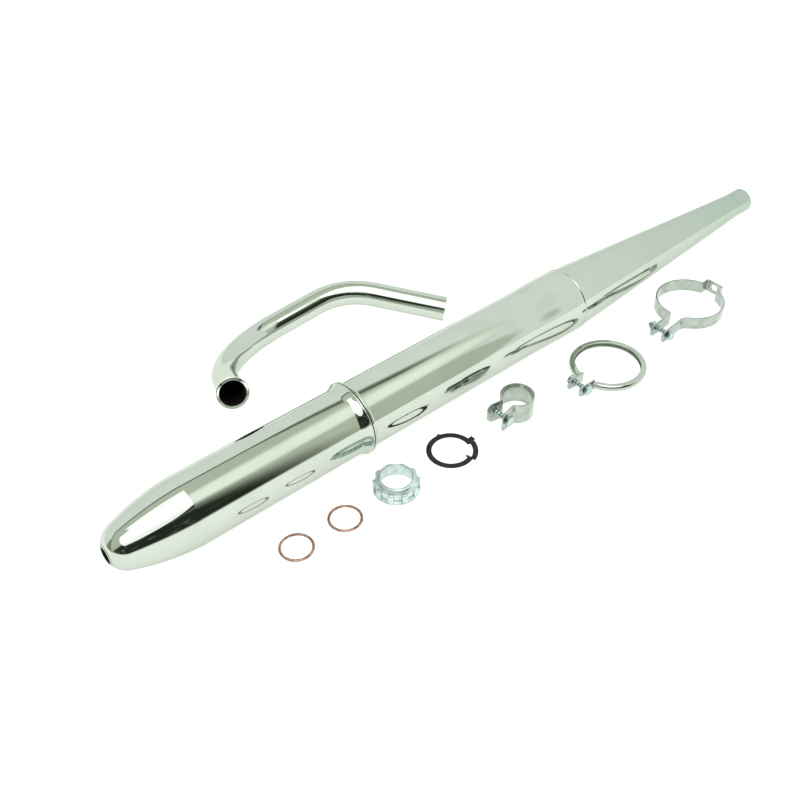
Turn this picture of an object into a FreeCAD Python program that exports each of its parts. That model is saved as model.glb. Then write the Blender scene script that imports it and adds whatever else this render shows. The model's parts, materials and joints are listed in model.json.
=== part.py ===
import FreeCAD, Part
import math
import os
import re
import Sketcher

# A chromed exhaust for a small two-stroke motorcycle, laid out as a kit on a bench.
# The muffler lies along X with its outlet nose at -X and its inlet sleeve at +X. Beside it lie
# the header pipe, the collar nut with its sealing and lock rings, and the three clamps.
# The origin is at the middle of the kit, on the bench. Millimetres, +Z up.

SIZES = {
    # muffler: stations are measured from the outlet nose along the axis
    "nose_x": (-446.75, "where the outlet nose stands along X"),
    "axis_y": (-40.0, "muffler axis across the bench"),
    "axis_z": (38.5, "muffler axis above the bench, its flange touching"),
    "tube_r": (35.0, "outer radius of both tubes"),
    "skin": (1.2, "sheet thickness"),
    "flange_r": (38.5, "outer radius of the joint flanges"),
    "nose_arc": (24.0, "radius of the blunt nose"),
    "ogive_arc": (240.0, "radius of the long nose curve"),
    "nose_end": (0.5, "station of the nose edge at the outlet"),
    "nose_to_ogive": (14.0, "station where the two nose curves meet"),
    "ogive_start_r": (22.3, "outer radius where they meet"),
    "ogive_end": (91.0, "station where the nose becomes a tube"),
    "outlet_r": (8.3, "outlet bore radius"),
    "outlet_wall": (1.6, "outlet pipe thickness"),
    "outlet_end": (60.0, "station of the outlet pipe's inner end"),
    "outlet_bead": (1.5, "radius of the rolled rim's section"),
    "outlet_bead_r": (10.5, "outer radius of the rolled outlet rim"),
    "flare_start": (254.5, "station where the tail flange starts to flare"),
    "joint": (266.5, "station of the tail flange face"),
    "flange_lip": (2.0, "straight edge of a flange"),
    "joint_gap": (0.8, "open gap between the two flanges"),
    "flare_arc": (18.5, "radius of the tail flange's flare"),
    "main_lip_arc": (3.0, "radius behind the main flange"),
    "swell_start": (537.0, "station where the main tube starts to swell"),
    "ridge": (559.0, "station of the shoulder ridge"),
    "ridge_r": (36.1, "outer radius at the ridge"),
    "seam": (566.0, "station of the seam between tube and cone"),
    "seam_r": (35.6, "outer radius at the seam"),
    "cone_end": (869.0, "station of the cone's small end"),
    "cone_end_r": (15.2, "outer radius of the cone's small end"),
    "inlet_end": (893.5, "station of the inlet edge"),
    "inlet_r": (14.1, "inlet bore radius, for the header pipe"),
    "inlet_wall": (1.0, "inlet sleeve thickness"),
    "bead_height": (0.6, "how far the seam bead stands up"),
    "bead_half": (1.1, "half the seam bead's width"),
    # inside the muffler
    "plate": (1.5, "thickness of the baffle plates"),
    "baffle_one": (103.0, "station of the first tail baffle"),
    "baffle_two": (161.0, "station of the second tail baffle"),
    "baffle_three": (217.0, "station of the third tail baffle"),
    "core_start": (46.0, "station where the core tube starts"),
    "core_end": (225.0, "station where the core tube ends"),
    "core_r": (11.2, "outer radius of the perforated core tube"),
    "core_hole_r": (2.0, "radius of the core tube's holes"),
    "core_hole_step": (11.0, "spacing of the core tube's holes"),
    "gas_hole_r": (4.5, "radius of the holes in a baffle"),
    "gas_hole_at": (22.0, "pitch radius of the holes in a baffle"),
    "slip_start": (229.0, "station where the slip sleeve starts"),
    "slip_end": (305.0, "station where the slip sleeve ends"),
    "slip_play": (0.15, "radial play of the slip sleeve"),
    "divider": (333.0, "station of the main chamber's divider"),
    "transfer_r": (12.0, "outer radius of the transfer tube"),
    "transfer_start": (321.0, "station where the transfer tube starts"),
    "transfer_end": (423.0, "station of the transfer tube's end"),
    "counter_start": (443.0, "station of the counter cone's small end"),
    "counter_end": (533.0, "station of the counter cone's large end"),
    # header pipe, resting on the rim of its plain end, its mouth raised
    "pipe_r": (14.0, "outer radius of the header pipe"),
    "pipe_wall": (1.5, "header pipe thickness"),
    "far_x": (32.36, "plain end, X"),
    "far_y": (58.32, "plain end, Y"),
    "far_run": (83.2, "straight run from the plain end"),
    "far_turn": (131.2, "heading of the far run from the plain end, degrees"),
    "far_slope": (8.6, "rise of the far run, degrees"),
    "bend_one": (83.0, "radius of the first, flatter bend"),
    "mid_run": (54.0, "straight run between the bends"),
    "mid_turn": (177.2, "heading of the middle run, degrees"),
    "mid_slope": (-6.7, "rise of the middle run, degrees"),
    "bend_two": (103.0, "radius of the rising bend"),
    "mouth_turn": (-110.4, "heading of the mouth, degrees"),
    "mouth_slope": (21.4, "rise of the mouth, degrees"),
    "mouth_run": (43.6, "straight run at the mouth"),
    "mouth_flare": (0.9, "how far the bore opens at the mouth"),
    "flare_deep": (3.0, "how deep the mouth's opening reaches"),
    "collar_r": (16.8, "outer radius of the mouth collar"),
    "collar_long": (2.8, "length of the mouth collar"),
    "collar_round": (0.9, "rounding of the collar's rims"),
    # collar nut
    "nut_x": (-183.15, "collar nut, X"),
    "nut_y": (-112.8, "collar nut, Y"),
    "nut_high": (16.0, "collar nut height"),
    "nut_base_r": (23.2, "radius of its base"),
    "nut_base_high": (2.4, "height of its base"),
    "nut_body_r": (20.8, "radius of its body"),
    "nut_body_high": (12.2, "height where the body slopes in"),
    "nut_top_r": (17.4, "radius of its top edge"),
    "nut_thread_r": (18.0, "thread bore radius"),
    "nut_thread_long": (11.4, "thread bore depth"),
    "nut_lip_r": (15.3, "radius of the hole in its lip"),
    "nut_lug_wide": (6.2, "width of a wrench lug"),
    "nut_lug_high": (11.6, "height of a wrench lug"),
    "nut_lugs": (10, "number of wrench lugs"),
    # sealing rings and lock ring
    "seal_ring_r": (15.9, "middle radius of a copper sealing ring"),
    "seal_wire_r": (1.0, "radius of its section"),
    "seal_one_x": (-299.95, "first sealing ring, X"),
    "seal_one_y": (-111.1, "first sealing ring, Y"),
    "seal_two_x": (-244.85, "second sealing ring, X"),
    "seal_two_y": (-112.0, "second sealing ring, Y"),
    "lock_x": (-109.45, "lock ring, X"),
    "lock_y": (-108.6, "lock ring, Y"),
    "lock_inner_r": (19.2, "lock ring, inner radius"),
    "lock_outer_r": (24.6, "lock ring, outer radius"),
    "lock_offset": (3.0, "how far the stepped part stands out"),
    "lock_high": (1.2, "lock ring thickness"),
    "lock_tab": (5.0, "length of its outer tab"),
    "lock_nub": (2.4, "length of its inner nub"),
    # pipe clamp
    "pipe_clamp_x": (-18.85, "pipe clamp, X"),
    "pipe_clamp_y": (-109.5, "pipe clamp, Y"),
    "pipe_clamp_r": (16.5, "inner radius"),
    "pipe_clamp_thick": (1.5, "strip thickness"),
    "pipe_clamp_high": (23.5, "strip width"),
    "pipe_clamp_ear": (19.0, "length of its ears"),
    # ring clamp
    "ring_clamp_x": (104.45, "ring clamp, X"),
    "ring_clamp_y": (-125.0, "ring clamp, Y"),
    "ring_clamp_in": (35.3, "inner radius"),
    "ring_clamp_leg": (39.0, "radius where the section's legs end"),
    "ring_clamp_crown": (3.7, "radius of the section's crown"),
    "ring_clamp_high": (7.0, "section width"),
    "ring_clamp_thick": (1.2, "section thickness"),
    "ring_clamp_rise": (2.3, "height of the section above the bench, held up by the lugs"),
    "lug_near": (-13.0, "outer face of the near lug, from the ring's centre"),
    "lug_far": (5.0, "outer face of the far lug, from the ring's centre"),
    "lug_long": (22.8, "lug length"),
    "lug_high": (12.0, "lug height"),
    "lug_cut": (2.5, "corner cut off a lug's tips"),
    "lug_thick": (2.0, "lug thickness"),
    # mounting clamp
    "mount_clamp_x": (258.45, "mounting clamp, X"),
    "mount_clamp_y": (-113.2, "mounting clamp, Y"),
    "mount_clamp_r": (37.0, "inner radius"),
    "mount_clamp_thick": (2.0, "strip thickness"),
    "mount_clamp_high": (14.5, "strip width"),
    "mount_box_out": (47.0, "how far the bolt pocket stands from the centre"),
    "mount_box_half": (10.9, "half its width"),
    "mount_bolt_r": (4.2, "radius of the frame bolt's hole"),
    # clamp bolts, one size
    "bolt_r": (3.0, "bolt radius"),
    "bolt_hole_r": (3.5, "radius of the hole for it"),
    "bolt_play": (0.05, "radial play of the nut on the thread"),
    "hex_r": (5.77, "circumscribed radius of head and nut"),
    "head_high": (4.0, "bolt head height"),
    "hex_nut_high": (5.0, "nut height"),
}

# Strip outlines of the clamps, in degrees round the ring and millimetres
PIPE_CLAMP = {"far_end": 160.0, "near_end": -142.0, "far_heading": 171.0, "near_heading": -167.0,
              "tail": 2.4, "fold": 1.6, "cut": 5.0,
              "bolt_x": -25.4, "head_face": -13.2, "nut_face": 6.7, "bolt_end": 13.2}
MOUNT_CLAMP = {"far_end": 178.0, "near_end": -141.0, "far_tip": (-76.0, -6.0), "near_tip": (-76.0, -21.5),
               "far_tail": 4.5, "far_fold": 2.5, "near_tail": 8.0, "near_fold": 10.0,
               "pocket_at": 19.0, "pocket_tail": 2.2, "pocket_root": 1.5, "pocket_fold": 2.5,
               "cut": 4.0, "bolt_x": -64.0, "head_face": -22.4, "nut_face": -3.5, "bolt_end": 5.5}
RING_CLAMP = {"bolt_x": -48.0, "head_face": -13.15, "nut_face": 5.15, "bolt_end": 12.0}
HEADER_PIECES = ("header_far_run", "header_flat_bend", "header_middle_run", "header_rising_bend",
                 "header_mouth_run")
LOCK_RING = {"step": (-66.0, -14.0), "step_lap": 4.0, "tab": (-8.0, 3.0), "nub": (-70.0, -64.0),
             "root": 0.5, "corner": 3.2, "corner_at": 76.0, "corner_turn": 59.0, "corner_in": 2.2}

doc = FreeCAD.newDocument("exhaust_muffler")
sheet = doc.addObject("Spreadsheet::Sheet", "sizes")
for row, (alias, (size, note)) in enumerate(SIZES.items(), start=1):
    sheet.set("A%d" % row, alias)
    sheet.set("B%d" % row, str(size))
    sheet.set("C%d" % row, note)
    sheet.setAlias("B%d" % row, alias)
doc.recompute()

nodes = []


def get(alias):
    return float(sheet.get(alias))


def amount(text):
    # value of a sum such as "tube_r - skin" or "plate * 2", from the sheet
    total, sign, term, scale = 0.0, 1.0, 0.0, None
    for word in text.split() + ["+"]:
        if word in ("+", "-"):
            total += sign * term
            sign, term = (1.0 if word == "+" else -1.0), 0.0
        elif word in ("*", "/"):
            scale = word
        else:
            number = get(word) if word in SIZES else float(word)
            if scale:
                term = term * number if scale == "*" else term / number
                scale = None
            else:
                term = number
    return total


def cell(text):
    # the same sum as an expression that reads the sheet
    return re.sub(r"[a-z_]+", lambda found: "sizes." + found.group(), text)


def bind(thing, **sums):
    for name, text in sums.items():
        thing.setExpression(name.replace("__", "."), cell(text))


def seat(thing, x, y, z):
    bind(thing, Placement__Base__x=x, Placement__Base__y=y, Placement__Base__z=z)


def node(thing, label):
    thing.Label = label
    nodes.append(thing)
    return thing


def new_body(label):
    return node(doc.addObject("PartDesign::Body", label), label)


def new_sketch(body, name, role="XY_Plane"):
    sketch = body.newObject("Sketcher::SketchObject", name)
    plane = next(item for item in body.Origin.OriginFeatures if item.Role == role)
    sketch.AttachmentSupport = [(plane, "")]
    sketch.MapMode = "FlatFace"
    return sketch


def arc_centre(start, end, radius, side):
    middle = (start + end) * 0.5
    across = end - start
    half = across.Length / 2
    left = FreeCAD.Vector(-across.y, across.x, 0).normalize()
    return middle + left * (side * math.sqrt(radius * radius - half * half))


def angle_about(centre, point):
    return math.atan2(point.y - centre.y, point.x - centre.x)


def draw_outline(sketch, corners):
    # Closed outline. A corner is (x, y) or (x, y, radius, side): then the run to the next corner
    # is an arc of that radius, with its centre on the left (1) or right (-1). All are sums.
    points = [FreeCAD.Vector(amount(corner[0]), amount(corner[1]), 0) for corner in corners]
    ends = []
    for index, corner in enumerate(corners):
        start, end = points[index], points[(index + 1) % len(points)]
        if len(corner) == 2:
            edge = sketch.addGeometry(Part.LineSegment(start, end))
            ends.append((edge, 1, 2))
            continue
        side = corner[3]
        centre = arc_centre(start, end, amount(corner[2]), side)
        circle = Part.Circle(centre, FreeCAD.Vector(0, 0, 1), amount(corner[2]))
        first, last = (start, end) if side > 0 else (end, start)
        from_angle, to_angle = angle_about(centre, first), angle_about(centre, last)
        if to_angle < from_angle:
            to_angle += 2 * math.pi
        edge = sketch.addGeometry(Part.ArcOfCircle(circle, from_angle, to_angle))
        ends.append((edge, 1, 2) if side > 0 else (edge, 2, 1))
    for index, (edge, first, last) in enumerate(ends):
        follower = ends[(index + 1) % len(ends)]
        sketch.addConstraint(Sketcher.Constraint("Coincident", edge, last, follower[0], follower[1]))
    for index, (edge, first, last) in enumerate(ends):
        corner = corners[index]
        spot = points[index]
        for kind, text, place in (("DistanceX", corner[0], spot.x), ("DistanceY", corner[1], spot.y)):
            number = sketch.addConstraint(Sketcher.Constraint(kind, -1, 1, edge, first, place))
            sketch.setExpression("Constraints[%d]" % number, cell(text))
        if len(corner) > 2:
            number = sketch.addConstraint(Sketcher.Constraint("Radius", edge, amount(corner[2])))
            sketch.setExpression("Constraints[%d]" % number, cell(corner[2]))


def draw_circle(sketch, x, y, radius):
    centre = FreeCAD.Vector(amount(x), amount(y), 0)
    edge = sketch.addGeometry(Part.Circle(centre, FreeCAD.Vector(0, 0, 1), amount(radius)))
    for kind, text, place in (("DistanceX", x, centre.x), ("DistanceY", y, centre.y)):
        number = sketch.addConstraint(Sketcher.Constraint(kind, -1, 1, edge, 3, place))
        sketch.setExpression("Constraints[%d]" % number, cell(text))
    number = sketch.addConstraint(Sketcher.Constraint("Radius", edge, amount(radius)))
    sketch.setExpression("Constraints[%d]" % number, cell(radius))


def revolve(body, corners, axis="H_Axis"):
    sketch = new_sketch(body, body.Label + "_profile")
    draw_outline(sketch, corners)
    feature = body.newObject("PartDesign::Revolution", body.Label + "_turned")
    feature.Profile = sketch
    feature.ReferenceAxis = (sketch, [axis])
    feature.Angle = 360
    return feature


def turned(label, corners):
    # a round piece of the muffler, drawn as station and radius
    body = new_body(label)
    revolve(body, corners)
    seat(body, "nose_x", "axis_y", "axis_z")
    return body


def wall(outer, thickness="skin"):
    # outline of a sheet that follows outer corners, given from low to high station
    inner = [(corner[0], corner[1] + " - " + thickness) for corner in reversed(outer)]
    return outer + inner


def tail_shell():
    turned("tail_nose", [
        ("nose_end", "outlet_r + outlet_wall", "nose_arc", -1),
        ("nose_to_ogive", "ogive_start_r", "ogive_arc", -1),
        ("ogive_end", "tube_r"),
        ("ogive_end", "tube_r - skin", "ogive_arc - skin", 1),
        ("nose_to_ogive + 0.39", "ogive_start_r - 1.14", "nose_arc - skin", 1),
        ("nose_end + 1.35", "outlet_r + outlet_wall")])
    turned("tail_tube", [
        ("ogive_end", "tube_r"),
        ("flare_start", "tube_r", "flare_arc", 1),
        ("joint - flange_lip", "flange_r - 0.4"),
        ("joint - flange_lip + 0.4", "flange_r"),
        ("joint", "flange_r"),
        ("joint", "tube_r - skin"),
        ("ogive_end", "tube_r - skin")])


def outlet_pipe():
    return turned("outlet_pipe", [
        ("nose_end", "outlet_r", "outlet_bead", -1),
        ("nose_end", "outlet_bead_r"),
        ("nose_end", "outlet_r + outlet_wall"),
        ("outlet_end", "outlet_r + outlet_wall"),
        ("outlet_end", "outlet_r")])


def baffle(label, station, middle_r):
    body = turned(label, [
        (station, middle_r), (station, "tube_r - skin"),
        (station + " + plate", "tube_r - skin"), (station + " + plate", middle_r)])
    sketch = new_sketch(body, label + "_hole", "YZ_Plane")
    draw_circle(sketch, "0", "gas_hole_at", "gas_hole_r")
    pocket = body.newObject("PartDesign::Pocket", label + "_pocket")
    pocket.Profile = sketch
    pocket.Type = 1
    pocket.Midplane = True
    doc.recompute()
    holes = body.newObject("PartDesign::PolarPattern", label + "_holes")
    holes.Originals = [pocket]
    holes.Axis = (sketch, ["N_Axis"])
    holes.Angle = 360
    holes.Occurrences = 6
    body.Tip = holes
    return body


def core_tube():
    body = turned("core_tube", wall([("core_start", "core_r"), ("core_end", "core_r")]))
    sketch = new_sketch(body, "core_tube_hole")
    count = int((amount("baffle_three - baffle_one")) / get("core_hole_step"))
    for index in range(count):
        draw_circle(sketch, "baffle_one + core_hole_step * %.1f" % (index + 0.7), "0", "core_hole_r")
    pocket = body.newObject("PartDesign::Pocket", "core_tube_pocket")
    pocket.Profile = sketch
    pocket.Type = 1
    pocket.Midplane = True
    doc.recompute()
    holes = body.newObject("PartDesign::PolarPattern", "core_tube_holes")
    holes.Originals = [pocket]
    holes.Axis = (sketch, ["H_Axis"])
    holes.Angle = 180
    holes.Occurrences = 3
    body.Tip = holes
    return body


def muffler():
    tail_shell()
    outlet_pipe()
    for label, station in (("baffle_front", "baffle_one"), ("baffle_middle", "baffle_two"),
                           ("baffle_rear", "baffle_three")):
        baffle(label, station, "core_r")
    core_tube()
    turned("slip_sleeve", wall([("slip_start", "tube_r - skin - slip_play"),
                                ("slip_end", "tube_r - skin - slip_play")]))
    turned("main_tube", [
        ("joint + joint_gap", "flange_r"),
        ("joint + joint_gap + flange_lip", "flange_r", "main_lip_arc", 1),
        ("joint + joint_gap + flange_lip + 2.95", "tube_r"),
        ("swell_start", "tube_r"), ("ridge", "ridge_r"), ("seam", "seam_r"),
        ("seam", "seam_r - skin"), ("ridge", "ridge_r - skin"), ("swell_start", "tube_r - skin"),
        ("joint + joint_gap", "tube_r - skin")])
    baffle("divider_plate", "divider", "transfer_r")
    turned("transfer_tube", wall([("transfer_start", "transfer_r"), ("transfer_end", "transfer_r")]))
    turned("counter_cone", wall([("counter_start", "transfer_r"), ("counter_end", "tube_r - skin - 0.05")]))
    turned("inlet_cone", wall([("seam", "seam_r"), ("cone_end", "cone_end_r")]))
    turned("seam_bead", [
        ("seam - bead_half", "seam_r + 0.1"), ("seam - bead_half / 2", "seam_r + bead_height"),
        ("seam + bead_half / 2", "seam_r + bead_height"), ("seam + bead_half", "seam_r - 0.05"),
        ("seam", "seam_r + 0.03")])
    turned("inlet_sleeve", [
        ("cone_end", "inlet_r"), ("cone_end", "inlet_r + inlet_wall"),
        ("inlet_end - 0.4", "inlet_r + inlet_wall"), ("inlet_end", "inlet_r + inlet_wall - 0.4"),
        ("inlet_end", "inlet_r")])


def flat(angle, length=1.0):
    turn = math.radians(angle)
    return FreeCAD.Vector(length * math.cos(turn), length * math.sin(turn), 0)


def smooth_wire(corners):
    # straight runs through the corner points, joined by tangent arcs of the given radii
    points = [corner[0] for corner in corners]
    edges = []
    here = points[0]
    for index in range(1, len(points) - 1):
        back = (points[index - 1] - points[index]).normalize()
        ahead = (points[index + 1] - points[index]).normalize()
        opening = back.getAngle(ahead)
        reach = corners[index][1] / math.tan(opening / 2)
        start, end = points[index] + back * reach, points[index] + ahead * reach
        inward = (back + ahead).normalize()
        middle = points[index] + inward * (corners[index][1] / math.sin(opening / 2) - corners[index][1])
        if (start - here).Length > 1e-6:
            edges.append(Part.LineSegment(here, start).toShape())
        edges.append(Part.Arc(start, middle, end).toShape())
        here = end
    edges.append(Part.LineSegment(here, points[-1]).toShape())
    return Part.Wire(edges)


def run_way(run):
    slope = math.radians(get(run + "_slope"))
    return flat(get(run + "_turn"), math.cos(slope)) + FreeCAD.Vector(0, 0, math.sin(slope))


def header_corners():
    # the plain end's rim touches the floor, so the middle of its face is lower than the pipe's radius
    far_way, mid_way, mouth_way = run_way("far"), run_way("mid"), run_way("mouth")
    far_height = get("pipe_r") * math.cos(math.radians(get("far_slope")))
    far = FreeCAD.Vector(get("far_x"), get("far_y"), far_height)
    first_reach = get("bend_one") * math.tan(far_way.getAngle(mid_way) / 2)
    second_reach = get("bend_two") * math.tan(mid_way.getAngle(mouth_way) / 2)
    first = far + far_way * (get("far_run") + first_reach)
    second = first + mid_way * (first_reach + get("mid_run") + second_reach)
    mouth = second + mouth_way * (second_reach + get("mouth_run"))
    return [(far, 0), (first, get("bend_one")), (second, get("bend_two")), (mouth, 0)], mouth_way


def tube_along(path, start, heading, radius):
    circle = Part.Wire(Part.Circle(start, heading, radius).toShape())
    return Part.Wire([path]).makePipeShell([circle], True, False)


def header_pipe():
    # one bent pipe, as a piece for each straight run and each bend
    corners, mouth_way = header_corners()
    mouth = corners[-1][0]
    bore_r = get("pipe_r") - get("pipe_wall")
    deep = get("flare_deep")
    flare = Part.makeCone(bore_r, bore_r + get("mouth_flare"), deep, mouth - mouth_way * deep, mouth_way)
    for label, path in zip(HEADER_PIECES, smooth_wire(corners).Edges):
        start = path.valueAt(path.FirstParameter)
        heading = path.tangentAt(path.FirstParameter)
        bore = tube_along(path, start, heading, bore_r)
        solid = tube_along(path, start, heading, get("pipe_r")).cut(bore)
        piece = node(doc.addObject("Part::Feature", label), label)
        piece.Shape = solid.cut(flare) if label == HEADER_PIECES[-1] else solid
        expected = math.pi * (get("pipe_r") ** 2 - bore_r ** 2) * path.Length
        print("%s volume / expected: %.3f, from %s" % (label, piece.Shape.Volume / expected, start))
    foot = mouth - mouth_way * get("collar_long")
    ring = Part.makeCylinder(get("collar_r"), get("collar_long"), foot, mouth_way)
    rims = [edge for edge in ring.Edges if edge.Length > get("collar_r") * 6]
    ring = ring.makeFillet(get("collar_round"), rims)
    collar = node(doc.addObject("Part::Feature", "header_collar"), "header_collar")
    collar.Shape = ring.cut(Part.makeCylinder(get("pipe_r"), get("collar_long") * 2, foot, mouth_way))
    print("mouth at %s" % mouth)


def collar_nut():
    body = new_body("collar_nut")
    revolve(body, [
        ("nut_thread_r", "0"), ("nut_base_r", "0"), ("nut_base_r", "nut_base_high"),
        ("nut_body_r", "nut_base_high + 0.6"), ("nut_body_r", "nut_body_high"),
        ("nut_top_r", "nut_high"), ("nut_lip_r", "nut_high"), ("nut_lip_r", "nut_thread_long + 0.8"),
        ("nut_thread_r", "nut_thread_long")], "V_Axis")
    sketch = new_sketch(body, "collar_nut_lug", "XZ_Plane")
    draw_outline(sketch, [
        ("nut_body_r - 0.6", "nut_lug_wide / 2 * -1"), ("nut_base_r - 0.2", "nut_lug_wide / 2 * -1"),
        ("nut_base_r - 0.2", "nut_lug_wide / 2"), ("nut_body_r - 0.6", "nut_lug_wide / 2")])
    pad = body.newObject("PartDesign::Pad", "collar_nut_lug_pad")
    pad.Profile = sketch
    pad.Reversed = True
    bind(pad, Length="nut_lug_high")
    doc.recompute()
    lugs = body.newObject("PartDesign::PolarPattern", "collar_nut_lugs")
    lugs.Originals = [pad]
    lugs.Axis = (sketch, ["N_Axis"])
    lugs.Angle = 360
    bind(lugs, Occurrences="nut_lugs")
    body.Tip = lugs
    body.Placement = FreeCAD.Placement(FreeCAD.Vector(), FreeCAD.Rotation(FreeCAD.Vector(1, 0, 0), 90))
    bind(body, Placement__Base__x="nut_x", Placement__Base__y="nut_y", Placement__Base__z="0")
    return body


def sealing_rings():
    for label, x, y in (("copper_ring_1", "seal_one_x", "seal_one_y"),
                        ("copper_ring_2", "seal_two_x", "seal_two_y")):
        ring = node(doc.addObject("Part::Torus", label), label)
        bind(ring, Radius1="seal_ring_r", Radius2="seal_wire_r")
        seat(ring, x, y, "seal_wire_r")


def ring_sector(inner_r, outer_r, first, last, high):
    sector = Part.makeCylinder(outer_r, high, FreeCAD.Vector(), FreeCAD.Vector(0, 0, 1), last - first)
    hole = Part.makeCylinder(inner_r, high)
    piece = sector.cut(hole)
    piece.rotate(FreeCAD.Vector(), FreeCAD.Vector(0, 0, 1), first)
    return piece


def lock_ring():
    inner, outer, high = get("lock_inner_r"), get("lock_outer_r"), get("lock_high")
    step_from, step_to = LOCK_RING["step"]
    offset, lap, root = get("lock_offset"), LOCK_RING["step_lap"], LOCK_RING["root"]
    plain = ring_sector(inner, outer, step_to, step_from + 360, high)
    stepped = ring_sector(inner + offset, outer + offset, step_from - lap, step_to + lap, high)
    tab = ring_sector(outer - root, outer + get("lock_tab"), *LOCK_RING["tab"], high)
    nub = ring_sector(inner - get("lock_nub"), inner + root, *LOCK_RING["nub"], high)
    corner = Part.makeBox(LOCK_RING["corner"], LOCK_RING["corner"], high)
    corner.rotate(FreeCAD.Vector(), FreeCAD.Vector(0, 0, 1), LOCK_RING["corner_turn"])
    corner.translate(flat(LOCK_RING["corner_at"], outer - LOCK_RING["corner_in"]))
    ring = node(doc.addObject("Part::Feature", "lock_ring"), "lock_ring")
    ring.Shape = plain.multiFuse([stepped, tab, nub, corner]).removeSplitter()
    seat(ring, "lock_x", "lock_y", "0")


def round_corners(radius, first, last):
    # corners whose arcs of this radius follow a circle clockwise from one angle to another
    count = math.ceil((first - last) / 60)
    step = (first - last) / count
    reach = radius / math.cos(math.radians(step / 2))
    return [(flat(first - step * (index + 0.5), reach), radius) for index in range(count)]


def tangent_point(radius, angle, length, way):
    # a point off the circle on its tangent, clockwise for way 1
    return flat(angle, radius) + flat(angle - 90 * way, length)


def strip(corners, thick, high):
    # a flat strip on edge, bent round upright folds
    wire = smooth_wire(corners)
    heading = (corners[1][0] - corners[0][0]).normalize()
    across = FreeCAD.Vector(-heading.y, heading.x, 0) * (thick / 2)
    up = FreeCAD.Vector(0, 0, high)
    start = corners[0][0]
    section = Part.makePolygon([start - across, start + across, start + across + up, start - across + up,
                                start - across])
    sweep = Part.BRepOffsetAPI.MakePipeShell(wire)
    sweep.setBiNormalMode(FreeCAD.Vector(0, 0, 1))
    sweep.add(section)
    sweep.build()
    sweep.makeSolid()
    return sweep.shape()


def corner_cuts(tip_x, high, cut):
    # two wedges that take the corners off the ears
    wedges = []
    for level, rise in ((0, cut), (high, -cut)):
        corner = FreeCAD.Vector(tip_x - 1, -60, level)
        along = FreeCAD.Vector(tip_x + cut, -60, level)
        up = FreeCAD.Vector(tip_x - 1, -60, level + rise * (1 + 1 / cut))
        outline = Part.makePolygon([corner, along, up, corner])
        wedges.append(Part.Face(outline).extrude(FreeCAD.Vector(0, 120, 0)))
    return wedges


def bolt_hole(x, high):
    start = FreeCAD.Vector(x, -60, high / 2)
    return Part.makeCylinder(get("bolt_hole_r"), 120, start, FreeCAD.Vector(0, 1, 0))


def pipe_clamp_band():
    plan, thick, high = PIPE_CLAMP, get("pipe_clamp_thick"), get("pipe_clamp_high")
    middle = get("pipe_clamp_r") + thick / 2
    far_root = tangent_point(middle, plan["far_end"], plan["tail"], -1)
    near_root = tangent_point(middle, plan["near_end"], plan["tail"], 1)
    far_tip = far_root + flat(plan["far_heading"], get("pipe_clamp_ear"))
    near_tip = near_root + flat(plan["near_heading"], get("pipe_clamp_ear"))
    corners = [(far_tip, 0), (far_root, plan["fold"])]
    corners += round_corners(middle, plan["far_end"], plan["near_end"])
    corners += [(near_root, plan["fold"]), (near_tip, 0)]
    band = strip(corners, thick, high).cut(bolt_hole(plan["bolt_x"], high))
    for wedge in corner_cuts(far_tip.x, high, plan["cut"]):
        band = band.cut(wedge)
    thing = node(doc.addObject("Part::Feature", "pipe_clamp_band"), "pipe_clamp_band")
    thing.Shape = band
    seat(thing, "pipe_clamp_x", "pipe_clamp_y", "0")


def mount_clamp_band():
    plan, thick, high = MOUNT_CLAMP, get("mount_clamp_thick"), get("mount_clamp_high")
    middle = get("mount_clamp_r") + thick / 2
    pocket, out, half = plan["pocket_at"], get("mount_box_out"), get("mount_box_half")
    far_tip = FreeCAD.Vector(*plan["far_tip"], 0)
    near_tip = FreeCAD.Vector(*plan["near_tip"], 0)
    far_root = tangent_point(middle, plan["far_end"], plan["far_tail"], -1)
    near_root = tangent_point(middle, plan["near_end"], plan["near_tail"], 1)
    corners = [(far_tip, 0), (far_root, plan["far_fold"])]
    corners += round_corners(middle, plan["far_end"], pocket)
    corners += [(tangent_point(middle, pocket, plan["pocket_tail"], 1), plan["pocket_root"]),
                (FreeCAD.Vector(out, half, 0), plan["pocket_fold"]),
                (FreeCAD.Vector(out, -half, 0), plan["pocket_fold"]),
                (tangent_point(middle, -pocket, plan["pocket_tail"], -1), plan["pocket_root"])]
    corners += round_corners(middle, -pocket, plan["near_end"])
    corners += [(near_root, plan["near_fold"]), (near_tip, 0)]
    band = strip(corners, thick, high).cut(bolt_hole(plan["bolt_x"], high))
    for wedge in corner_cuts(far_tip.x, high, plan["cut"]):
        band = band.cut(wedge)
    hole_foot = FreeCAD.Vector(out - 5, 0, high / 2)
    hole = Part.makeCylinder(get("mount_bolt_r"), 10, hole_foot, FreeCAD.Vector(1, 0, 0))
    thing = node(doc.addObject("Part::Feature", "mount_clamp_band"), "mount_clamp_band")
    thing.Shape = band.cut(hole)
    seat(thing, "mount_clamp_x", "mount_clamp_y", "0")


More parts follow.
